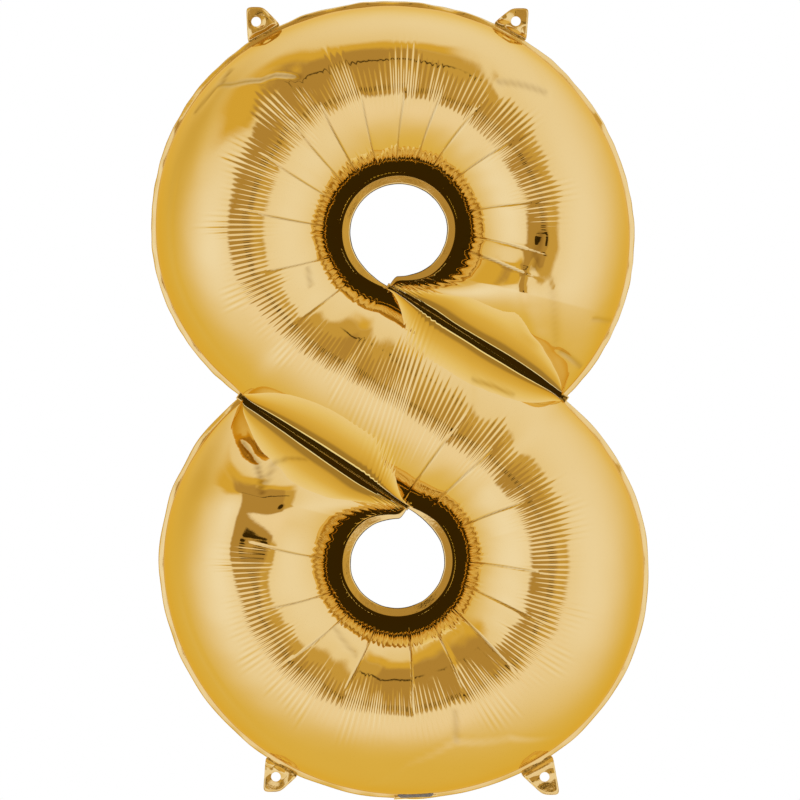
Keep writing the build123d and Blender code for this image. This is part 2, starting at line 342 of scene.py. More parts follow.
def tuck_run(distance):
    """Length over the tube's rounded end from its slit, for a distance from the slit in plan."""
    tucked = TUCK_LENGTH * np.arccos(np.clip(1 - distance / TUCK_LENGTH, -1, 1))
    return np.where(distance < TUCK_LENGTH, tucked, distance + TUCK_LENGTH * (pi / 2 - 1))


def tube_lines():
    """The lines across the tube, from the upper slit to the lower slit, as a dict of arrays."""
    upper_inner, upper_outer = half_edges(UPPER, LOWER)
    lower_inner, lower_outer = half_edges(LOWER, UPPER)
    left = np.concatenate([upper_inner, lower_outer[-2::-1]])
    right = np.concatenate([upper_outer, lower_inner[-2::-1]])
    run = run_along((left + right) / 2)
    even = np.linspace(0, run[-1], int(run[-1] * POINTS_PER_MM))
    left = rounded(resample(left, run, even), POINTS_PER_MM * SMOOTHING)
    right = rounded(resample(right, run, even), POINTS_PER_MM * SMOOTHING)
    run = run_along((left + right) / 2)
    from_end = np.minimum(run, run[-1] - run)
    half = run[-1] / 2
    surface = np.where(run < half, tuck_run(from_end), 2 * tuck_run(np.array(half)) - tuck_run(from_end))
    pleats = int(surface[-1] / PLEAT_PITCH)
    where = np.linspace(0, surface[-1], pleats * LINES_PER_PLEAT + 1)
    run_at = np.interp(where, surface, run)
    left = resample(left, run, run_at)
    right = resample(right, run, run_at)
    from_end = np.minimum(run_at, run[-1] - run_at)
    climb = np.clip(from_end / TUCK_LENGTH, 0, 1)
    return {"left": left, "right": right, "surface": where,
            "fullness": np.sqrt(1 - (1 - climb) ** 2)}


TUBE = tube_lines()


# ---------------------------------------------------------------- relief on the film

def smooth_step(low, high, value):
    """0 below low, 1 above high, and an S-curve between."""
    share = np.clip((value - low) / (high - low), 0, 1)
    return share * share * (3 - 2 * share)


def waves(random, along, across, lengths, count):
    """Soft noise of about unit size: a sum of waves with lengths between two limits."""
    total = np.zeros(np.broadcast(along, across).shape)
    for _ in range(count):
        length = random.uniform(*lengths)
        heading = random.uniform(0, pi)
        phase = random.uniform(0, 2 * pi)
        total += np.sin(2 * pi * (along * cos(heading) + across * sin(heading)) / length + phase)
    return total / np.sqrt(count / 2)


def own_angles(ring):
    """A ring's own angle of each line across the tube, seen from its hole, and the lines' distances
    over the tube's surface, both in increasing order."""
    edge = TUBE["left"] if ring is UPPER else TUBE["right"][::-1]
    surface = TUBE["surface"] if ring is UPPER else TUBE["surface"][-1] - TUBE["surface"]
    offset = (edge - ring.hole)[:len(edge) // 2 + 200]
    own = np.degrees(np.unwrap(np.arctan2(offset[:, 1], offset[:, 0]))) - ring.turn
    own -= 360 * np.round((own[0] - SLIT_ANGLE) / 360)
    return np.maximum.accumulate(own) + np.linspace(0, 0.001, len(own)), surface[:len(own)]


OWN_ANGLES = {ring.turn: own_angles(ring) for ring in (UPPER, LOWER)}


def surface_at(ring, own):
    """Distance over the tube's surface at a ring's own angle."""
    angles, surface = OWN_ANGLES[ring.turn]
    if ring is LOWER:
        return TUBE["surface"][-1] - np.interp(own, angles, np.sort(TUBE["surface"][-1] - surface))
    return np.interp(own, angles, surface)


def ring_share(share):
    """Share of the width from the hole side, for each ring's half, given the share from the left edge."""
    upper = smooth_step(0.56, 0.44, TUBE["surface"] / TUBE["surface"][-1])[:, None]
    return upper * share + (1 - upper) * (1 - share)


def fold_relief(fold, theta, half_width):
    """The relief of one fold, drawn as a line of points over the film, and its painted shade."""
    own, inside = np.array(fold.path, float).T
    at = surface_at(fold.ring, own)
    turn = np.arccos(1 - 2 * inside)
    if fold.ring is LOWER:
        turn = pi - turn
    line = np.stack([at, turn * np.interp(at, TUBE["surface"], half_width)], -1)
    grid = np.stack(np.broadcast_arrays(TUBE["surface"][:, None], theta * half_width[:, None]), -1)
    run = run_along(line)
    nearest = np.full(grid.shape[:2], np.inf)
    along = np.zeros(grid.shape[:2])
    side = np.ones(grid.shape[:2])
    for first, second, so_far in zip(line[:-1], line[1:], run[:-1]):
        step = second - first
        length = np.linalg.norm(step)
        share = np.clip((grid - first) @ step / length ** 2, 0, 1)
        away = np.linalg.norm(grid - first - share[..., None] * step, axis=2)
        closer = away < nearest
        beside = np.sign((grid - first) @ np.array([-step[1], step[0]]))
        side = np.where(closer, beside, side)
        nearest = np.where(closer, away, nearest)
        along = np.where(closer, (so_far + share * length) / run[-1], along)
    taper = smooth_step(0, 0.2, along) * smooth_step(1, 0.8, along)
    line_height = fold.height * np.exp(-(nearest / fold.spread) ** 2)
    step = fold.step * np.tanh(side * nearest / STEP_EDGE) * np.exp(-nearest / STEP_FADE)
    shadow = fold.shadow * np.exp(-(nearest / SHADOW_SPREAD) ** 2)
    return (line_height + step) * taper, shadow * smooth_step(0, 0.35, taper)


def pleat_relief(random, inside):
    """Fine pleats along the crest, in clusters, and coarser ones round the holes."""
    surface = TUBE["surface"][:, None]
    lines = len(TUBE["surface"])
    pleat = np.arange(lines) // LINES_PER_PLEAT
    phase = np.arange(lines)[:, None] * (2 * pi / LINES_PER_PLEAT)
    pleats = pleat[-1] + 1
    places = surface[::LINES_PER_PLEAT, 0][:pleats]
    cluster = smooth_step(0.2, 1.3, waves(random, places, 0 * places, CLUSTER_LENGTHS, 9))
    for ring, creases in CREASES:
        for crease in creases:
            cluster += 0.5 * np.exp(-((places - surface_at(ring, crease)) / CREASE_CLUSTER) ** 2)

    upper_start, lower_start = (surface_at(ring, own) for ring, own in zip((UPPER, LOWER), PLEATS_FROM))
    present = smooth_step(upper_start - 12, upper_start + 22, places)
    present *= smooth_step(lower_start + 12, lower_start - 22, places)
    size = CALM_PLEAT + (1 - CALM_PLEAT) * np.minimum(cluster, 1)
    size = size * random.uniform(0.6, 1.3, pleats) * present
    reach = 0.10 + 0.07 * np.minimum(cluster, 1.2) + random.uniform(0, 0.06, pleats)
    centre = CREST + 0.012 * np.sin(places / 57) + random.uniform(-0.025, 0.025, pleats)
    centre += 0.03 * np.minimum(cluster, 1)
    crest = np.clip(1 - ((inside - centre[pleat][:, None]) / reach[pleat][:, None]) ** 2, 0, 1)
    relief = CREST_PLEAT * size[pleat][:, None] * crest * -np.cos(phase)

    size = random.uniform(0.5, 1.3, pleats)[pleat][:, None]
    reach = random.uniform(0.12, 0.19, pleats // 2 + 1)[pleat // 2][:, None]
    near_hole = smooth_step(0, 0.03, inside) * smooth_step(reach, reach - 0.05, inside)
    return relief + HOLE_PLEAT * size * near_hole * -np.cos(phase / 2)


def gore_relief(random, inside):
    """Gores: the film bellies out between creases and is drawn in sharply at each.  Also the painted shade
    in the creases' closed bottoms."""
    surface = TUBE["surface"][:, None]
    places = np.sort(np.concatenate([surface_at(ring, np.array(creases)) for ring, creases in CREASES]))
    after = np.searchsorted(places, TUBE["surface"])
    ends = np.concatenate([[0], places, [TUBE["surface"][-1]]])
    gap = ends[after + 1] - ends[after]
    place = ((TUBE["surface"] - ends[after]) / gap)[:, None]
    reach = smooth_step(0.02, 0.1, inside) * smooth_step(0.62, 0.38, inside)
    relief = GORE_BELLY * (4 * place * (1 - place) - 0.5) * reach
    shadow = np.zeros(relief.shape)
    for ring, creases in CREASES:
        lean = CREASE_SLANT if ring is LOWER else -CREASE_SLANT
        for crease in surface_at(ring, np.array(creases)):
            end = random.uniform(0.5, 0.66)
            beside = surface - crease - lean * random.uniform(0.7, 1.2) * (inside - 0.2)
            reach = smooth_step(0.03, 0.1, inside) * smooth_step(end, end - 0.12, inside)
            deep = CREASE_DEPTH * random.uniform(0.55, 1.15)
            step = CREASE_STEP * random.choice([-1, 1]) * np.sign(beside)
            step = step * np.exp(-np.abs(beside) / CREASE_FADE)
            bottom = np.exp(-(beside / CREASE_SPREAD) ** 2)
            relief = relief + (step - deep * bottom) * reach
            dark = CREASE_SHADOW * random.uniform(0.5, 1) * bottom
            shadow = np.maximum(shadow, dark * smooth_step(0.55, 0.3, inside) * reach)
    return relief, shadow


def film_relief(random, theta, width, darkness):
    """How far each point of the film stands out from the plain tube, in millimetres, and how much painted
    shade darkens it; darkness scales the folds' own painted shade."""
    share = (1 - np.cos(theta)) / 2 * np.ones((len(width), 1))
    surface = TUBE["surface"][:, None]
    across = theta * width[:, None] / 2
    inside = ring_share(share)
    relief, shadow = gore_relief(random, inside)
    relief = relief + pleat_relief(random, inside)
    for fold in FOLDS:
        raised, dark = fold_relief(fold, theta, width / 2)
        relief = relief + raised
        shadow = np.maximum(shadow, darkness * dark)
    for height, lengths, count in FILM_WAVES:
        relief = relief + height * waves(random, surface, across, lengths, count)
    return relief * smooth_step(0, 0.03, share) * smooth_step(1, 0.97, share), shadow


def film_points(side, random):
    """Points of one arched film, as lines x rows x 3, and their painted shade: side is -1 for the front.
    """
    left = TUBE["left"][:, None, :]
    right = TUBE["right"][:, None, :]
    width = np.linalg.norm(right - left, axis=2)
    theta = np.linspace(0, pi, ROWS + 1)
    share = (1 - np.cos(theta)) / 2 * np.ones((len(left), 1))
    flat = left + (right - left) * share[..., None]
    height = ARCH * np.minimum(width / 2, MOST_HALF_WIDTH) * TUBE["fullness"][:, None] * np.sin(theta)
    points = off_plane(flat, side * height)
    normal = grid_normals(points)
    normal *= np.sign(normal[..., 1:2] * side + 1e-9)
    relief, shadow = film_relief(random, theta, width[:, 0], 1.0 if side < 0 else REAR_DARKNESS)
    ends = smooth_step(0, 0.15, TUBE["fullness"])[:, None]
    return points + normal * (relief * ends)[..., None], shadow


# ---------------------------------------------------------------- meshes

def grid_normals(points, wrap=False):
    """Unit normals of a grid of points."""
    along = np.gradient(points, axis=0)
    if wrap:
        along = (np.roll(points, -1, 0) - np.roll(points, 1, 0)) / 2
    across = np.gradient(points, axis=1)
    normal = np.cross(along, across)
    length = np.linalg.norm(normal, axis=2, keepdims=True)
    return normal / np.maximum(length, 1e-9)


def grid_faces(lines, rows, wrap, offset=0):
    """Quads of a grid of points, lines x rows, perhaps closed from the last line to the first."""
    line = np.arange(lines if wrap else lines - 1)[:, None]
    row = np.arange(rows - 1)[None, :]
    after = (line + 1) % lines
    here = line * rows + row
    there = after * rows + row
    quads = np.stack([here, there, there + 1, here + 1], -1)
    return quads.reshape(-1, 4) + offset


def add_mesh(name, vertices, faces, material):
    """A mesh object from points in millimetres."""
    mesh = bpy.data.meshes.new(name)
    mesh.from_pydata((vertices.reshape(-1, 3) * MM).tolist(), [], faces.tolist())
    mesh.polygons.foreach_set("use_smooth", np.ones(len(mesh.polygons), bool))
    mesh.materials.append(material)
    mesh.validate()
    mesh.update()
    piece = bpy.data.objects.new(name, mesh)
    bpy.context.scene.collection.objects.link(piece)
    return piece


def surface_piece(name, points, material, wrap=False):
    """A thin film as one open surface."""
    lines, rows = points.shape[:2]
    return add_mesh(name, points, grid_faces(lines, rows, wrap), material)


def thick_piece(name, points, thickness, material, wrap=False):
    """A film with its real edges: two surfaces a thickness apart, joined all round."""
    lines, rows = points.shape[:2]
    normal = grid_normals(points, wrap)
    front = points + normal * thickness / 2
    back = points - normal * thickness / 2
    count = lines * rows
    faces = [grid_faces(lines, rows, wrap), grid_faces(lines, rows, wrap, count)[:, ::-1]]
    first = np.arange(lines) * rows
    last = first + rows - 1
    for border, turn in ((first, 1), (last, -1)):
        here = border if wrap else border[:-1]
        after = np.roll(border, -1) if wrap else border[1:]
        faces.append(np.stack([here, here + count, after + count, after], -1)[:, ::turn])
    if not wrap:
        for start, turn in ((0, -1), ((lines - 1) * rows, 1)):
            here = start + np.arange(rows - 1)
            faces.append(np.stack([here, here + count, here + 1 + count, here + 1], -1)[:, ::turn])
    vertices = np.concatenate([front.reshape(-1, 3), back.reshape(-1, 3)])
    return add_mesh(name, vertices, np.concatenate(faces), material)


# ---------------------------------------------------------------- materials

def node(tree, kind, **settings):
    """A shader node with its inputs and properties set."""
    made = tree.nodes.new(kind)
    for name, value in settings.items():
        if hasattr(made, name):
            setattr(made, name, value)
        else:
            made.inputs[name.replace("_", " ")].default_value = value
    return made


def mixed(tree, factor, first, second):
    """A colour part way from first to second; either may be a colour or a link."""
    mix = node(tree, "ShaderNodeMix", data_type="RGBA")
    tree.links.new(factor, mix.inputs["Factor"])
    for name, value in (("A", first), ("B", second)):
        if isinstance(value, tuple):
            mix.inputs[name].default_value = (*value, 1)
        else:
            tree.links.new(value, mix.inputs[name])
    return mix.outputs["Result"]


EDGE_TINT = (0.96, 0.80, 0.42)
FOLD_SHADOW = "fold_shadow"
# Painted shade: this dark brown is mixed into the film's gold where the fold_shadow attribute marks the
# bottoms of folds and creases.
FOLD_SHADE_COLOUR = (0.22, 0.10, 0.008)


def foil_material(name, colour, shade, roughness, crinkle, grain):
    """Metallised film: a mirror of gold with faint crinkles and an uneven finish, and painted shade: a
    dark brown mixed into its colour at the bottoms of folds and creases.
    """
    material = bpy.data.materials.new(name)
    material.use_nodes = True
    tree = material.node_tree
    shader = tree.nodes["Principled BSDF"]
    shader.inputs["Metallic"].default_value = 1.0
    shader.inputs["Specular Tint"].default_value = (*EDGE_TINT, 1)
    place = tree.nodes.new("ShaderNodeTexCoord")

    cloud = node(tree, "ShaderNodeTexNoise", Scale=14.0, Detail=3.0)
    tree.links.new(place.outputs["Object"], cloud.inputs["Vector"])
    tone = mixed(tree, cloud.outputs["Fac"], colour, shade)
    # Painted shade at the bottoms of folds and creases, read from the fold_shadow attribute.
    fold_shade = node(tree, "ShaderNodeAttribute", attribute_name=FOLD_SHADOW)
    closed = mixed(tree, fold_shade.outputs["Fac"], tone, FOLD_SHADE_COLOUR)
    tree.links.new(closed, shader.inputs["Base Color"])

    polish = tree.nodes.new("ShaderNodeMapRange")
    polish.inputs["To Min"].default_value = roughness[0]
    polish.inputs["To Max"].default_value = roughness[1]
    tree.links.new(cloud.outputs["Fac"], polish.inputs["Value"])
    tree.links.new(polish.outputs["Result"], shader.inputs["Roughness"])

    fine = node(tree, "ShaderNodeTexNoise", Scale=grain, Detail=4.0)
    tree.links.new(place.outputs["Object"], fine.inputs["Vector"])
    bump = node(tree, "ShaderNodeBump", Strength=crinkle, Distance=0.001)
    tree.links.new(fine.outputs["Fac"], bump.inputs["Height"])
    tree.links.new(bump.outputs["Normal"], shader.inputs["Normal"])
    return material


GOLD = (0.84, 0.645, 0.248)
GOLD_SHADE = (0.82, 0.617, 0.224)
foil = foil_material("gold_foil", GOLD, GOLD_SHADE, (0.02, 0.06), 0.06, 90.0)
weld = foil_material("gold_weld", GOLD, GOLD_SHADE, (0.06, 0.12), 0.08, 320.0)
tab_foil = foil_material("tab_foil", GOLD, GOLD_SHADE, (0.08, 0.16), 0.35, 160.0)
neck_foil = foil_material("neck_foil", GOLD, GOLD_SHADE, (0.08, 0.16), 0.3, 160.0)


CLEAR = (0.86, 0.84, 0.78)
CLEAR_HAZE = (0.72, 0.70, 0.63)


def valve_material():
    """Clear matt polyethylene with a faint haze."""
    material = bpy.data.materials.new("valve_film")
    material.use_nodes = True
    tree = material.node_tree
    shader = tree.nodes["Principled BSDF"]
    shader.inputs["Transmission Weight"].default_value = 0.7
    shader.inputs["IOR"].default_value = 1.5
    place = tree.nodes.new("ShaderNodeTexCoord")
    haze = node(tree, "ShaderNodeTexNoise", Scale=60.0, Detail=3.0)
    tree.links.new(place.outputs["Object"], haze.inputs["Vector"])
    tone = mixed(tree, haze.outputs["Fac"], CLEAR, CLEAR_HAZE)
    tree.links.new(tone, shader.inputs["Base Color"])
    polish = tree.nodes.new("ShaderNodeMapRange")
    polish.inputs["To Min"].default_value = 0.3
    polish.inputs["To Max"].default_value = 0.5
    tree.links.new(haze.outputs["Fac"], polish.inputs["Value"])
    tree.links.new(polish.outputs["Result"], shader.inputs["Roughness"])
    return material


# ---------------------------------------------------------------- the pieces

def settle(piece, body, slot, *nodes):
    """The piece rides on a body and stands for CAD nodes, which it hides; slot is not used."""
    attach(piece, body)
    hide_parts(*nodes)


def make_films():
    """The front and rear films."""
    for name, side, seed in (("front_foil", -1, SEED), ("rear_foil", 1, SEED + 1)):
        points, shadow = film_points(side, np.random.default_rng(seed))
        piece = surface_piece(name, points, foil)
        # The film's painted shade, at the bottoms of its folds and creases, is stored as the fold_shadow
        # attribute.
        fold_shade = piece.data.attributes.new(FOLD_SHADOW, "FLOAT", "POINT")
        fold_shade.data.foreach_set("value", shadow.ravel().astype(np.float32))
        settle(piece, "balloon", "gold_foil", name + "_panel")


WELD_FILM = 0.25
RIM_CURL = 1.8              # how far the outer edge curls to the rear
RIM_TUCK = 4.0              # how far a weld runs on out of sight between the films


def make_rim():
    """The flange round the outside: one strip over each ring, slightly wavy along its edge and in its
    lift.
    """
    random = np.random.default_rng(SEED + 2)
    strips = []
    for ring in (UPPER, LOWER):
        near = angle_about(ring, ring.near_notch)
        far = angle_about(ring, ring.far_notch)
        angle = np.linspace(near, far, 1000)[:, None]
        run = radians(1) * ring.radius * angle
        outward = np.linspace(0, 1, 7)[None, :]
        edge = 0.3 * waves(random, run, 0 * run, (14, 60), 12) - 0.5
        inset = (RIM_WELD + RIM_TUCK) * (1 - outward) + (-edge) * outward
        flat = polar(ring.centre, outline_radius(ring, angle) - inset, angle + ring.turn)
        show = np.clip((outward * (RIM_WELD + RIM_TUCK) - RIM_TUCK) / RIM_WELD, 0, 1)
        lift = show * (RIM_CURL + 0.5 * waves(random, run, 0 * run, (22, 70), 12))
        strips.append(off_plane(flat, lift))
    pieces = [thick_piece("rim_strip", strip, WELD_FILM, weld) for strip in strips]
    return join("outer_weld", pieces)


def join(name, pieces):
    """Several mesh objects as one."""
    bpy.ops.object.select_all(action="DESELECT")
    for piece in pieces:
        piece.select_set(True)
    bpy.context.view_layer.objects.active = pieces[0]
    bpy.ops.object.join()
    pieces[0].name = name
    return pieces[0]


def make_hole_weld(name, ring, seed):
    """The flange round a hole."""
    random = np.random.default_rng(seed)
    angle = np.linspace(SLIT_ANGLE - 3, SLIT_ANGLE + 363, 540)[:, None]
    run = radians(1) * ring.hole_radius * angle
    inward = np.linspace(0, 1, 8)[None, :]
    edge = hole_edge(ring, angle) + 0.1 * waves(random, run, 0 * run, (12, 40), 12)
    seam = hole_edge(ring, angle) + hole_weld_width(angle) + RIM_TUCK
    radius = seam + (edge - seam) * inward
    flat = polar(ring.hole, radius, angle + ring.turn)
    lift = 0.12 * inward ** 2 * waves(random, run, 0 * run, (30, 90), 12) + 1.0 * inward
    return thick_piece(name, off_plane(flat, lift), WELD_FILM, weld)


def make_slit_weld(name, ring, seed):
    """The flat weld along a slit."""
    random = np.random.default_rng(seed)
    share = np.linspace(-0.01, 1.012, 220)[:, None]
    across = np.linspace(-1, 1, 7)[None, :] * (SLIT_WEB / 2 + RIM_TUCK)
    start, along, square = slit_line(ring)
    flat = start + along * share[..., None] + square * across[..., None]
    lift = 0.15 * waves(random, share * np.linalg.norm(along), across, (30, 80), 8)
    return thick_piece(name, off_plane(flat, lift), WELD_FILM, weld)


def tab_outline(tab):
    """The edge of a tab, going round, as evenly spaced points: its root runs on inside the rim."""
    root = on_outline(tab.ring, tab.angle)
    along = on_outline(tab.ring, tab.angle + 1) - on_outline(tab.ring, tab.angle - 1)
    along /= np.linalg.norm(along)
    inward = tab.ring.centre - root
    inward /= np.linalg.norm(inward)
    ends = [root + along * way * TAB_ROOT / 2 + inward * TAB_RUN_ON for way in (-1, 1)]
    ends.sort(key=lambda corner: abs(corner[0] - tab.side))
    corners = np.array([*ends, (tab.shoulder, tab.end), (tab.side, tab.end), ends[0]])
    run = run_along(corners)
    edge = resample(corners, run, np.linspace(0, run[-1], TAB_EDGE_POINTS, endpoint=False))
    weights = np.exp(-0.5 * (np.arange(-30, 31) / TAB_ROUNDING) ** 2)
    padded = np.concatenate([edge[-30:], edge, edge[:30]])
    return np.stack([np.convolve(column, weights / weights.sum(), "valid") for column in padded.T], -1)


def tab_relief(random, tab, flat):
    """How far a tab's crumpled film stands off its plane: facets, sharpest near its root,
    over slow waves."""
    root = on_outline(tab.ring, tab.angle)
    from_root = np.abs((flat - root) @ ((root - tab.ring.centre) / np.linalg.norm(root - tab.ring.centre)))
    facets = np.abs(waves(random, flat[..., 0], flat[..., 1], (16, 34), 5))
    slope = waves(random, flat[..., 0], flat[..., 1], (35, 70), 6)
    return 0.9 * facets * smooth_step(24, 2, from_root) + 0.8 * slope + 0.1 * facets


def make_tab(tab, seed):
    """A hanging tab: crumpled fused film round its punched hole, bending at its root."""
    random = np.random.default_rng(seed)
    edge = tab_outline(tab)
    middle = np.array(tab.hole)
    turned = np.arctan2(edge[:, 1] - middle[1], edge[:, 0] - middle[0])
    punched = middle + TAB_HOLE_RADIUS * np.stack([np.cos(turned), np.sin(turned)], -1)
    outward = np.linspace(0, 1, TAB_ROWS)[None, :, None]
    flat = punched[:, None] + (edge - punched)[:, None] * outward
    lift = tab_relief(random, tab, flat)
    rim = smooth_step(0.80, 0.92, outward[..., 0]) * TAB_BEAD
    hidden = smooth_step(0, 5, (flat - on_outline(tab.ring, tab.angle)) @ tab_outward(tab))
    height = np.clip((lift - rim) * hidden, -TAB_MOST_LIFT, TAB_MOST_LIFT) - TAB_BEHIND * (1 - hidden)
    piece = thick_piece(tab.name + "_film", off_plane(flat, -height), TAB_FILM, tab_foil, wrap=True)
    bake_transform(piece)
    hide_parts(tab.name)


def tab_outward(tab):
    """The direction in which a tab stands out from the rim."""
    along = on_outline(tab.ring, tab.angle + 1) - on_outline(tab.ring, tab.angle - 1)
    outward = np.array([along[1], -along[0]]) / np.linalg.norm(along)
    return outward * np.sign(outward @ (on_outline(tab.ring, tab.angle) - tab.ring.centre))


def built_up(slope, run, part):
    """How far a curve has come at each place along it, by the sine or cosine (part) of its slope."""
    return np.concatenate([[0], np.cumsum(part((slope[1:] + slope[:-1]) / 2) * np.diff(run))])


def make_neck(name, side, seed):
    """One film of the inflation neck: it comes out behind the rim, folds and lies under the rear film.
    Side is 1 for the film that hangs in front when the neck is let down."""
    random = np.random.default_rng(seed)
    hinge = on_outline(LOWER, NECK_ANGLE, NECK_INSET)
    outward = on_outline(LOWER, NECK_ANGLE) - hinge
    outward /= np.linalg.norm(outward)
    across = np.array([-outward[1], outward[0]])
    run = np.linspace(-NECK_ROOT, NECK_LENGTH, 64)
    slope = radians(90 - NECK_LIFT) * smooth_step(-NECK_BEND, NECK_BEND, run)
    back = built_up(slope, run, np.sin)
    down = built_up(slope, run, np.cos)
    lift = np.radians(NECK_LIFT) * smooth_step(-NECK_BEND, 3 * NECK_BEND, run)
    down = down - built_up(lift, run, np.sin)
    back += NECK_BEHIND - np.interp(0, run, back)
    down -= np.interp(0, run, down)
    place = np.linspace(-1, 1, 48)[None, :] * NECK_WIDTH / 2
    past_corner = np.maximum(0, run[:, None] - (NECK_LENGTH - NECK_CORNER))
    rounding = NECK_CORNER - np.sqrt(np.maximum(0, NECK_CORNER ** 2 - past_corner ** 2))
    place = place * (1 - rounding * 2 / NECK_WIDTH)
    crumple = NECK_CRUMPLE * waves(random, run[:, None], place, (12, 40), 12)
    crumple = crumple * smooth_step(4, 20, run)[:, None]
    apart = side * (NECK_FILM_GAP / 2 + NECK_PUFF * smooth_step(6, 34, run)[:, None]
                    * (1 - (2 * place / NECK_WIDTH) ** 2))
    normal_back = -np.cos(slope)[:, None]
    normal_down = np.sin(slope)[:, None]
    y = back[:, None] + (apart + crumple) * normal_back
    fall = down[:, None] + (apart + crumple) * normal_down
    x = hinge[0] + across[0] * place + outward[0] * fall
    z = hinge[1] + across[1] * place + outward[1] * fall
    piece = thick_piece(name, np.stack([x, y, z], -1), NECK_FILM, neck_foil)
    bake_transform(piece)
    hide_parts(name.replace("_foil", "_film"))


make_films()
for tab_number, tab in enumerate(TABS):
    make_tab(tab, SEED + 10 + tab_number)
make_neck("neck_front_foil", 1, SEED + 20)
make_neck("neck_rear_foil", -1, SEED + 21)
settle(make_rim(), "balloon", "gold_weld", "outer_weld_band")
settle(make_hole_weld("upper_hole_weld", UPPER, SEED + 3), "balloon", "gold_weld", "upper_hole_weld_band")
settle(make_hole_weld("lower_hole_weld", LOWER, SEED + 4), "balloon", "gold_weld", "lower_hole_weld_band")
settle(make_slit_weld("upper_slit_web", UPPER, SEED + 5), "balloon", "gold_weld", "upper_slit_weld")
settle(make_slit_weld("lower_slit_web", LOWER, SEED + 6), "balloon", "gold_weld", "lower_slit_weld")


# ---------------------------------------------------------------- studio

def toward(side, turn):
    """The direction a mirror looks when it leans by half of side, in degrees, off the viewer's axis
    towards a turn of the clock: 0 is right and 90 is up."""
    away = sin(radians(side))
    return (away * cos(radians(turn)), -cos(radians(side)), away * sin(radians(turn)))


def along_direction(tree, place, direction):
    """How nearly a ray of the studio points in a direction: the cosine of the angle between."""
    dot = node(tree, "ShaderNodeVectorMath", operation="DOT_PRODUCT")
    dot.inputs[1].default_value = direction
    tree.links.new(place, dot.inputs[0])
    return dot.outputs["Value"]


def maths(tree, operation, first, second, **settings):
    """Two values put together by an operation; second may be a number or a link."""
    made = node(tree, "ShaderNodeMath", operation=operation, **settings)
    tree.links.new(first, made.inputs[0])
    if isinstance(second, float):
        made.inputs[1].default_value = second
    else:
        tree.links.new(second, made.inputs[1])
    return made.outputs[0]


def softbox(tree, place, direction, sharpness, strength):
    """A soft light that is brightest in one direction, as a share from 0 to its strength."""
    facing = maths(tree, "MAXIMUM", along_direction(tree, place, direction), 0.0)
    return maths(tree, "MULTIPLY", maths(tree, "POWER", facing, sharpness), strength)


def added(tree, values):
    """The sum of several values, at most 1."""
    total = values[0]
    for value in values[1:]:
        total = maths(tree, "ADD", total, value, use_clamp=True)
    return total


def eased(tree, value, low, high):
    """0 where a value is at low, 1 at high, and an S-curve between."""
    ramp = node(tree, "ShaderNodeMapRange", interpolation_type="SMOOTHSTEP")
    ramp.inputs["From Min"].default_value = low
    ramp.inputs["From Max"].default_value = high
    tree.links.new(value, ramp.inputs["Value"])
    return ramp.outputs["Result"]


ROOM = (0.838, 0.645, 0.215)
PALE = (1.03, 1.05, 1.47)
CREAM = (1.092, 1.085, 1.60)
BROWN = (0.51, 0.335, 0.125)
AMBER = (0.66, 0.46, 0.16)
DEEP = (0.78, 0.543, 0.126)
BLACK = (0.04, 0.023, 0.003)
LEFT_BOX = (toward(44, 188), 4.6, 1.0)
RIGHT_BOX = (toward(50, 358), 2.4, 0.86)
TOP_BOX = (toward(106, 78), 2.0, 0.78)
LOW_BOX = (toward(26, 270), 14.0, 0.45)
DIM_BOX = (toward(105, 152), 14.0, 0.85)
DIM = (0.72, 0.53, 0.17)
NEUTRAL = (0.9, 0.9, 0.9)
WHITE = (1.0, 1.0, 1.0)
# The areas of the wall behind the viewer: a colour, then the limits and the softness of its height and
# of its breadth, as parts of a direction.
WALL = [
    (DEEP, (0.78, 0.90, 0.03), (-0.62, 0.30, 0.10)),
    (DEEP, (0.42, 0.80, 0.06), (-0.78, -0.40, 0.08)),
    (AMBER, (-0.12, 0.80, 0.04), (0.05, 0.34, 0.05)),
    (BROWN, (0.50, 0.80, 0.05), (-0.48, 0.10, 0.06)),
    (BROWN, (-0.17, 0.80, 0.03), (-0.36, 0.11, 0.04)),
    (BLACK, (0.59, 0.615, 0.012), (-0.30, 0.22, 0.05)),
]
VIEWER = (0.9965, 0.9985)   # cosines between which the dark spot straight ahead fades in


def window(tree, value, low, high, edge):
    """1 where a value lies between two limits, 0 outside them, with soft edges."""
    above = eased(tree, value, low - edge, low + edge)
    below = eased(tree, value, high + edge, high - edge)
    return both(tree, above, below)


def both(tree, first, second):
    """The product of two shares."""
    return maths(tree, "MULTIPLY", first, second)


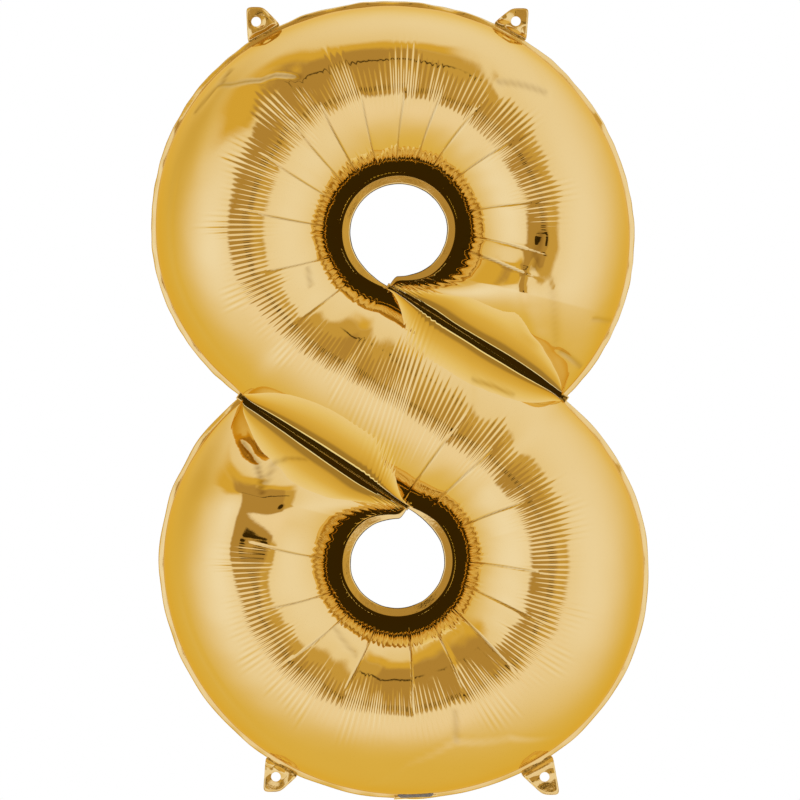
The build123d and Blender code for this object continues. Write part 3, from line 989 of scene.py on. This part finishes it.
def make_world():
    """A soft studio all round.  Pale boxes stand left, right, overhead and low in front; between them,
    behind the viewer, is a brown wall with a dark line along its top, a gold strip beside it and gold
    above.  What is seen directly past the object is plain white."""
    world = bpy.data.worlds.new("studio")
    bpy.context.scene.world = world
    world.use_nodes = True
    tree = world.node_tree
    place = tree.nodes.new("ShaderNodeTexCoord").outputs["Generated"]
    parts = tree.nodes.new("ShaderNodeSeparateXYZ")
    tree.links.new(place, parts.inputs["Vector"])
    x, y, z = (parts.outputs[axis] for axis in "XYZ")
    ahead = eased(tree, y, 0.1, -0.25)
    pale = added(tree, [softbox(tree, place, *box) for box in (LEFT_BOX, RIGHT_BOX, TOP_BOX)])
    room = mixed(tree, pale, ROOM, PALE)
    room = mixed(tree, softbox(tree, place, *LOW_BOX), room, CREAM)
    room = mixed(tree, softbox(tree, place, *DIM_BOX), room, DIM)
    for colour, height, breadth in WALL:
        area = both(tree, window(tree, z, *height), window(tree, x, *breadth))
        room = mixed(tree, both(tree, area, ahead), room, colour)
    viewer = eased(tree, along_direction(tree, place, (0, -1, 0)), *VIEWER)
    room = mixed(tree, viewer, room, BLACK)
    seen = tree.nodes.new("ShaderNodeLightPath")
    room = mixed(tree, seen.outputs["Is Diffuse Ray"], room, NEUTRAL)
    room = mixed(tree, seen.outputs["Is Camera Ray"], room, WHITE)
    tree.links.new(room, tree.nodes["Background"].inputs["Color"])


def plain_material(name, colour):
    """A matt stage material, the same all over."""
    material = bpy.data.materials.new(name)
    material.use_nodes = True
    tree = material.node_tree
    shader = tree.nodes["Principled BSDF"]
    shader.inputs["Base Color"].default_value = (*colour, 1)
    shader.inputs["Roughness"].default_value = 0.9
    shader.inputs["Specular IOR Level"].default_value = 0.0
    return material


def glow_material():
    """Cards of the studio that show their own colours whatever falls on them."""
    material = plain_material("card", (0.0, 0.0, 0.0))
    tree = material.node_tree
    shader = tree.nodes["Principled BSDF"]
    tint = node(tree, "ShaderNodeAttribute", attribute_name=CARD_TINT)
    tree.links.new(tint.outputs["Color"], shader.inputs["Emission Color"])
    shader.inputs["Emission Strength"].default_value = 1.0
    return material


CARD_TINT = "tint"
DARK_CARD = (0.038, 0.022, 0.002)
BRIGHT_CARD = (1.05, 1.10, 1.50)
BROWN_CARD = (0.42, 0.29, 0.11)
AMBER_CARD = (0.74, 0.52, 0.14)
DEEP_CARD = (0.84, 0.63, 0.22)
GOLD_CARD = (0.93, 0.80, 0.52)
PALE_CARD = (0.98, 0.90, 0.86)
FLOOR_HEIGHT = -600.0
FLOOR_RADIUS = 2200.0
FLOOR_POINTS = 96
FLAG_GAP = 0.6
COLLAR_LOW = 2.0
COLLAR_HEIGHT = 17.0
CARD_GAP = 0.1
GUTTER_HALF_WIDTH = 1.2
GUTTER_HEIGHT = 0.9
# The colours up each card along a slit, by height: the lobe's side first, then the band's.
LOBE_CARD = [(0, DARK_CARD), (22, DARK_CARD), (22.5, BRIGHT_CARD), (24, BRIGHT_CARD), (24.5, BROWN_CARD),
             (36, BROWN_CARD), (42, AMBER_CARD), (58, DEEP_CARD), (76, GOLD_CARD), (95, PALE_CARD)]
BAND_CARD = [(0, DARK_CARD), (21, DARK_CARD), (21.5, BRIGHT_CARD), (25, BRIGHT_CARD), (25.5, BROWN_CARD),
             (34, BROWN_CARD), (39, AMBER_CARD), (56, DEEP_CARD), (76, GOLD_CARD), (95, PALE_CARD)]


def make_card(name, points, colours, material):
    """A card out of the camera's sight, with a colour for each row of its points."""
    card = surface_piece(name, points, material)
    tint = card.data.color_attributes.new(CARD_TINT, "FLOAT_COLOR", "POINT")
    shades = np.ones((*points.shape[:2], 4))
    shades[..., :3] = np.array(colours)[None, :, :]
    tint.data.foreach_set("color", shades.ravel().astype(np.float32))
    card.visible_camera = False


def standing_card(name, foot, rise, stops, material):
    """A pair of cards that stand on a line in the seam plane, one to the front and one to the rear."""
    for way in (-1, 1):
        rows = [off_plane(foot, way * height * rise) for height, _ in stops]
        make_card(name, np.stack(rows, 1), [colour for _, colour in stops], material)


def make_floor():
    """A round pale floor, which the object doesn't mirror."""
    angle = np.linspace(0, 2 * pi, FLOOR_POINTS, endpoint=False)
    height = np.full(FLOOR_POINTS, FLOOR_HEIGHT)
    points = np.stack([FLOOR_RADIUS * np.cos(angle), FLOOR_RADIUS * np.sin(angle), height], -1)
    floor = add_mesh("floor", points, np.arange(FLOOR_POINTS)[None, :], plain_material("floor", NEUTRAL))
    floor.visible_glossy = False


def make_stage():
    """The floor, and cards that the film next to them mirrors: a dark one fills each hole, with a dark
    collar round it, and banded ones stand along each slit."""
    make_floor()
    glow = glow_material()
    for name, ring in (("upper", UPPER), ("lower", LOWER)):
        angle = np.linspace(SLIT_ANGLE, SLIT_ANGLE + 360, 120)
        edge = polar(ring.hole, hole_edge(ring, angle) - FLAG_GAP, angle + ring.turn)
        rows = [off_plane(line, 0) for line in (edge, 0 * edge + ring.hole)]
        make_card(name + "_hole_card", np.stack(rows, 1), [DARK_CARD, DARK_CARD], glow)
        angle = np.linspace(SLIT_ANGLE + 5, SLIT_ANGLE + 355, 200)
        collar = [(COLLAR_LOW, DARK_CARD), (COLLAR_HEIGHT, DARK_CARD)]
        standing_card(name + "_collar_card", on_hole_seam(ring, angle), 1 + 0 * angle, collar, glow)

        share = np.linspace(0.0, 0.99, 60)
        rise = smooth_step(-0.06, 0.3, share) * np.sin(pi * np.maximum(share, 0.5)) ** 0.6
        start, along, square = slit_line(ring)
        line = start + along * share[:, None]
        standing_card(name + "_lobe_card", line + square * CARD_GAP, rise, LOBE_CARD, glow)
        standing_card(name + "_band_card", line - square * CARD_GAP, rise, BAND_CARD, glow)
        for way in (-1, 1):
            edges = [line + square * side * GUTTER_HALF_WIDTH for side in (-1, 1)]
            rows = [off_plane(edge, way * GUTTER_HEIGHT) for edge in edges]
            make_card(name + "_gutter_card", np.stack(rows, 1), [DARK_CARD, DARK_CARD], glow)


CAMERA_DISTANCE = 5.0
FRAME_WIDTH = 0.8312
CAMERA_HEIGHT = 0.4151


def make_camera():
    """A long lens, level, square on to the front of the figure."""
    camera = bpy.data.objects.new("camera", bpy.data.cameras.new("camera"))
    bpy.context.scene.collection.objects.link(camera)
    camera.location = (0, -CAMERA_DISTANCE, CAMERA_HEIGHT)
    camera.rotation_euler = (radians(90), 0, 0)
    camera.data.lens = camera.data.sensor_width * CAMERA_DISTANCE / FRAME_WIDTH
    camera.data.clip_end = 50
    bpy.context.scene.camera = camera


make_world()
make_stage()
make_camera()
bpy.context.scene.view_settings.view_transform = "Standard"

valve = valve_material()
for name in ("valve_front_film", "valve_rear_film"):
    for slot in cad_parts[name].material_slots:
        slot.material = valve
